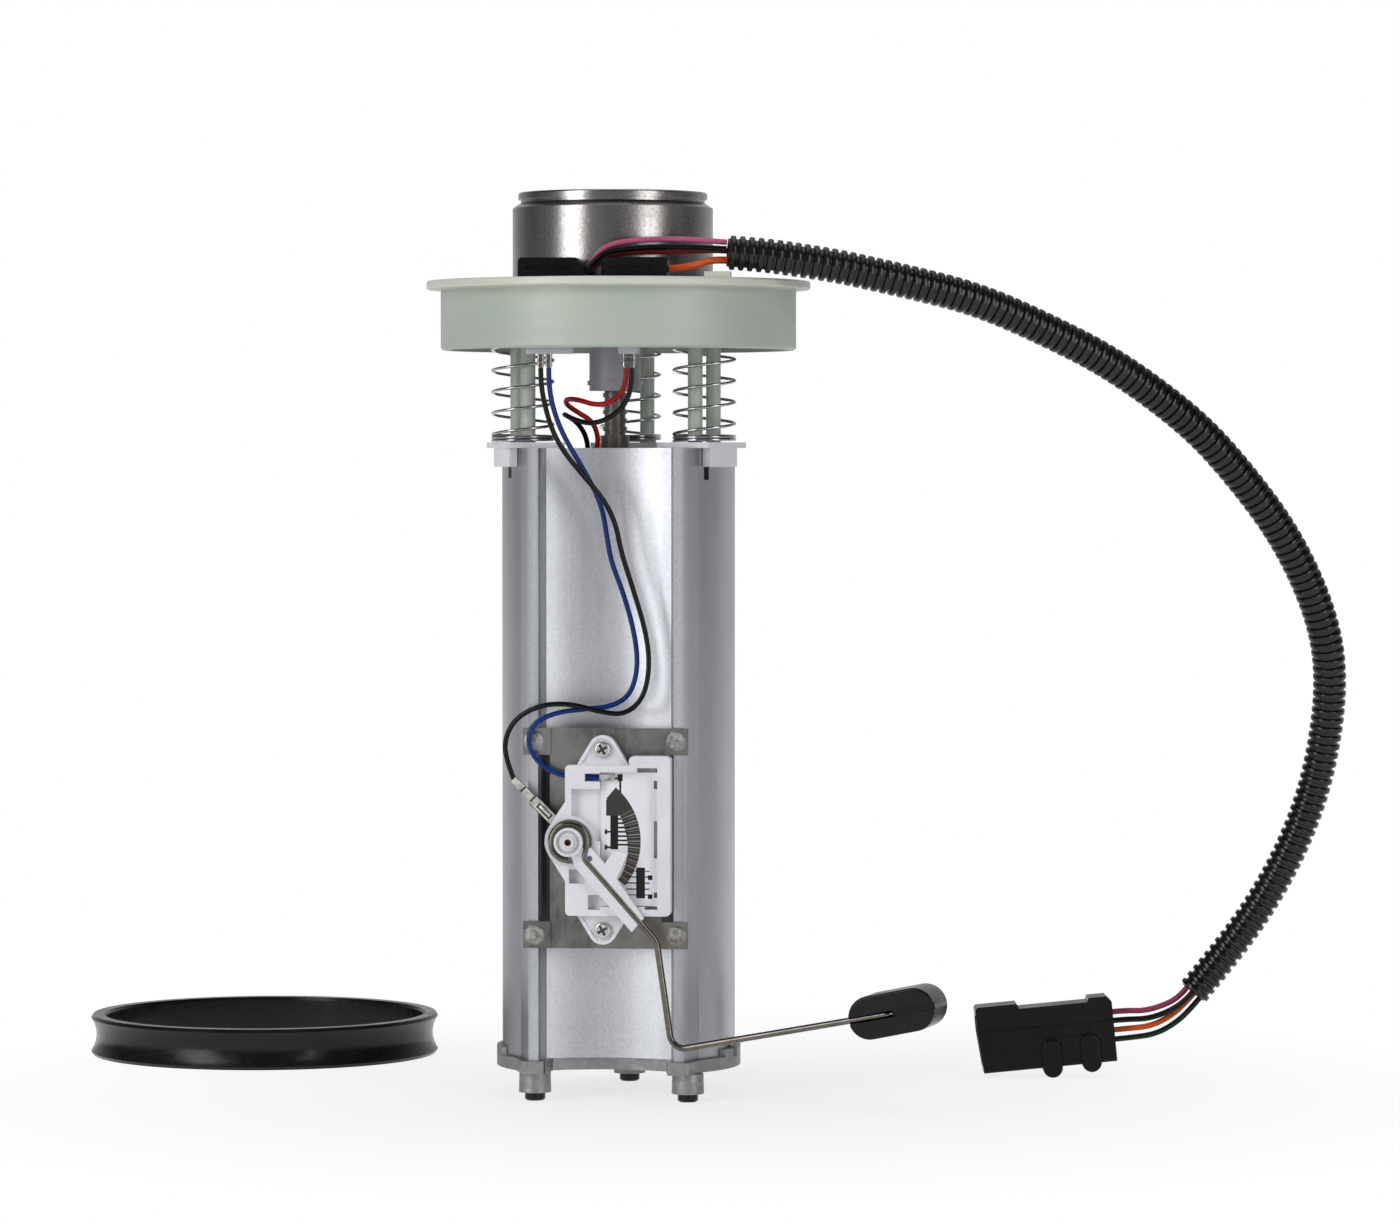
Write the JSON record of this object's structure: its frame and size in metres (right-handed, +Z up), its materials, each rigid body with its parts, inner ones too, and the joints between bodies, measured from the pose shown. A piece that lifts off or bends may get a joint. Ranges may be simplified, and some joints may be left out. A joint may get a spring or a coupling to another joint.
{
  "type": "fuel pump module",
  "caption": "In-tank fuel pump module: flange with filter can on three springs and guide rods, aluminium reservoir, float arm level sender, wiring loom and loose seal ring.",
  "frame": {"origin": "centre of the flange underside, where the tank seal seats, on the axis of the skirt that enters the tank opening", "axes": "+Z up out of the tank along the module axis, -Y the front with the level sender, +X to the right, where the loom leaves"},
  "size_m": [0.4717, 0.2486, 0.3189],
  "materials": {
    "grey_green_plastic": "matte",
    "stainless": "satin",
    "black_rubber": "semi-gloss",
    "filter_paper": "pleated paper",
    "zinc_steel": "zinc plated",
    "black_plastic": "matte",
    "light_grey_plastic": "matte",
    "tinned_brass": "tinned",
    "grey_plastic": "matte",
    "aluminium_body": "satin, drawn",
    "cast_alloy": "as cast",
    "magnet": "ferrite",
    "copper_winding": "copper",
    "ribbed_tube": "satin",
    "filter_cloth": "woven",
    "white_plastic": "satin",
    "card_ceramic": "ceramic",
    "arm_steel": "drawn wire",
    "float_foam": "foamed nitrile",
    "loom_plastic": "ribbed",
    "wire_black": "insulation",
    "wire_blue": "insulation",
    "wire_red": "insulation",
    "wire_pink": "insulation",
    "wire_orange": "insulation",
    "wire_green": "insulation",
    "spring_steel": "bright"
  },
  "bodies": {
    "reservoir": {"base_casting": "cast_alloy", "foot_left": "black_rubber", "foot_rear": "black_rubber", "foot_right": "black_rubber", "harness_plug": "black_plastic", "outlet_tube": "ribbed_tube", "plug_wire_black": "wire_black", "plug_wire_green": "wire_green", "plug_wire_orange": "wire_orange", "plug_wire_purple": "wire_pink", "pump_cradle_lower": "black_rubber", "pump_cradle_upper": "black_rubber", "pump_inlet_cap": "black_plastic", "pump_lead_black": "wire_black", "pump_lead_red": "wire_red", "pump_magnets": "magnet", "pump_outlet_cap": "black_plastic", "pump_shell": "zinc_steel", "reservoir": "aluminium_body", "resistor_card": "card_ceramic", "sender_bracket": "zinc_steel", "sender_housing": "white_plastic", "sender_lead_black": "wire_black", "sender_lead_blue": "wire_blue", "sender_screw_lower": "zinc_steel", "sender_screw_upper": "zinc_steel", "sender_terminal_black": "tinned_brass", "sender_terminal_blue": "tinned_brass", "spring_left": "spring_steel", "spring_rear": "spring_steel", "spring_right": "spring_steel", "spring_seat_left": "white_plastic", "spring_seat_rear": "white_plastic", "spring_seat_right": "white_plastic", "strainer": "filter_cloth", "tank_seal": "black_rubber"},
    "flange": {"flange": "grey_green_plastic", "filter_can": "stainless", "can_lid": "stainless", "can_seal": "black_rubber", "filter_element": "filter_paper", "pressure_regulator": "zinc_steel", "supply_nipple": "zinc_steel", "connector_left": "black_plastic", "connector_right": "black_plastic", "terminal_block": "light_grey_plastic", "pump_terminal_block": "light_grey_plastic", "lead_terminals": "tinned_brass", "outlet_coupling": "grey_plastic", "loom_wire_black": "wire_black", "loom_wire_pink": "wire_pink", "loom_wire_red": "wire_red", "loom_wire_orange": "wire_orange", "conduit": "loom_plastic"},
    "float_arm": {"wiper": "white_plastic", "float_arm": "arm_steel", "float": "float_foam"},
    "pump_rotor": {"pump_armature": "copper_winding", "pump_impeller": "grey_plastic"}
  },
  "joints": [
    {"name": "flange_slide", "type": "slide", "parent": "reservoir", "child": "flange", "axis": [0, 0, 1], "range_m": [-0.025, 0], "stiffness_N_per_m": 1200, "springref_m": 0.02, "deforming": ["spring_rear", "spring_left", "spring_right", "sender_lead_black", "sender_lead_blue", "pump_lead_red", "pump_lead_black", "conduit"]},
    {"name": "float_swing", "type": "hinge", "parent": "reservoir", "child": "float_arm", "pos_m": [-0.0117, -0.047, -0.1928], "axis": [0, -1, 0], "range_deg": [0, 75]},
    {"name": "rotor_spin", "type": "hinge", "parent": "reservoir", "child": "pump_rotor", "pos_m": [-0.0015, 0.002, -0.19], "axis": [0, 0, 1], "continuous": true}
  ]
}
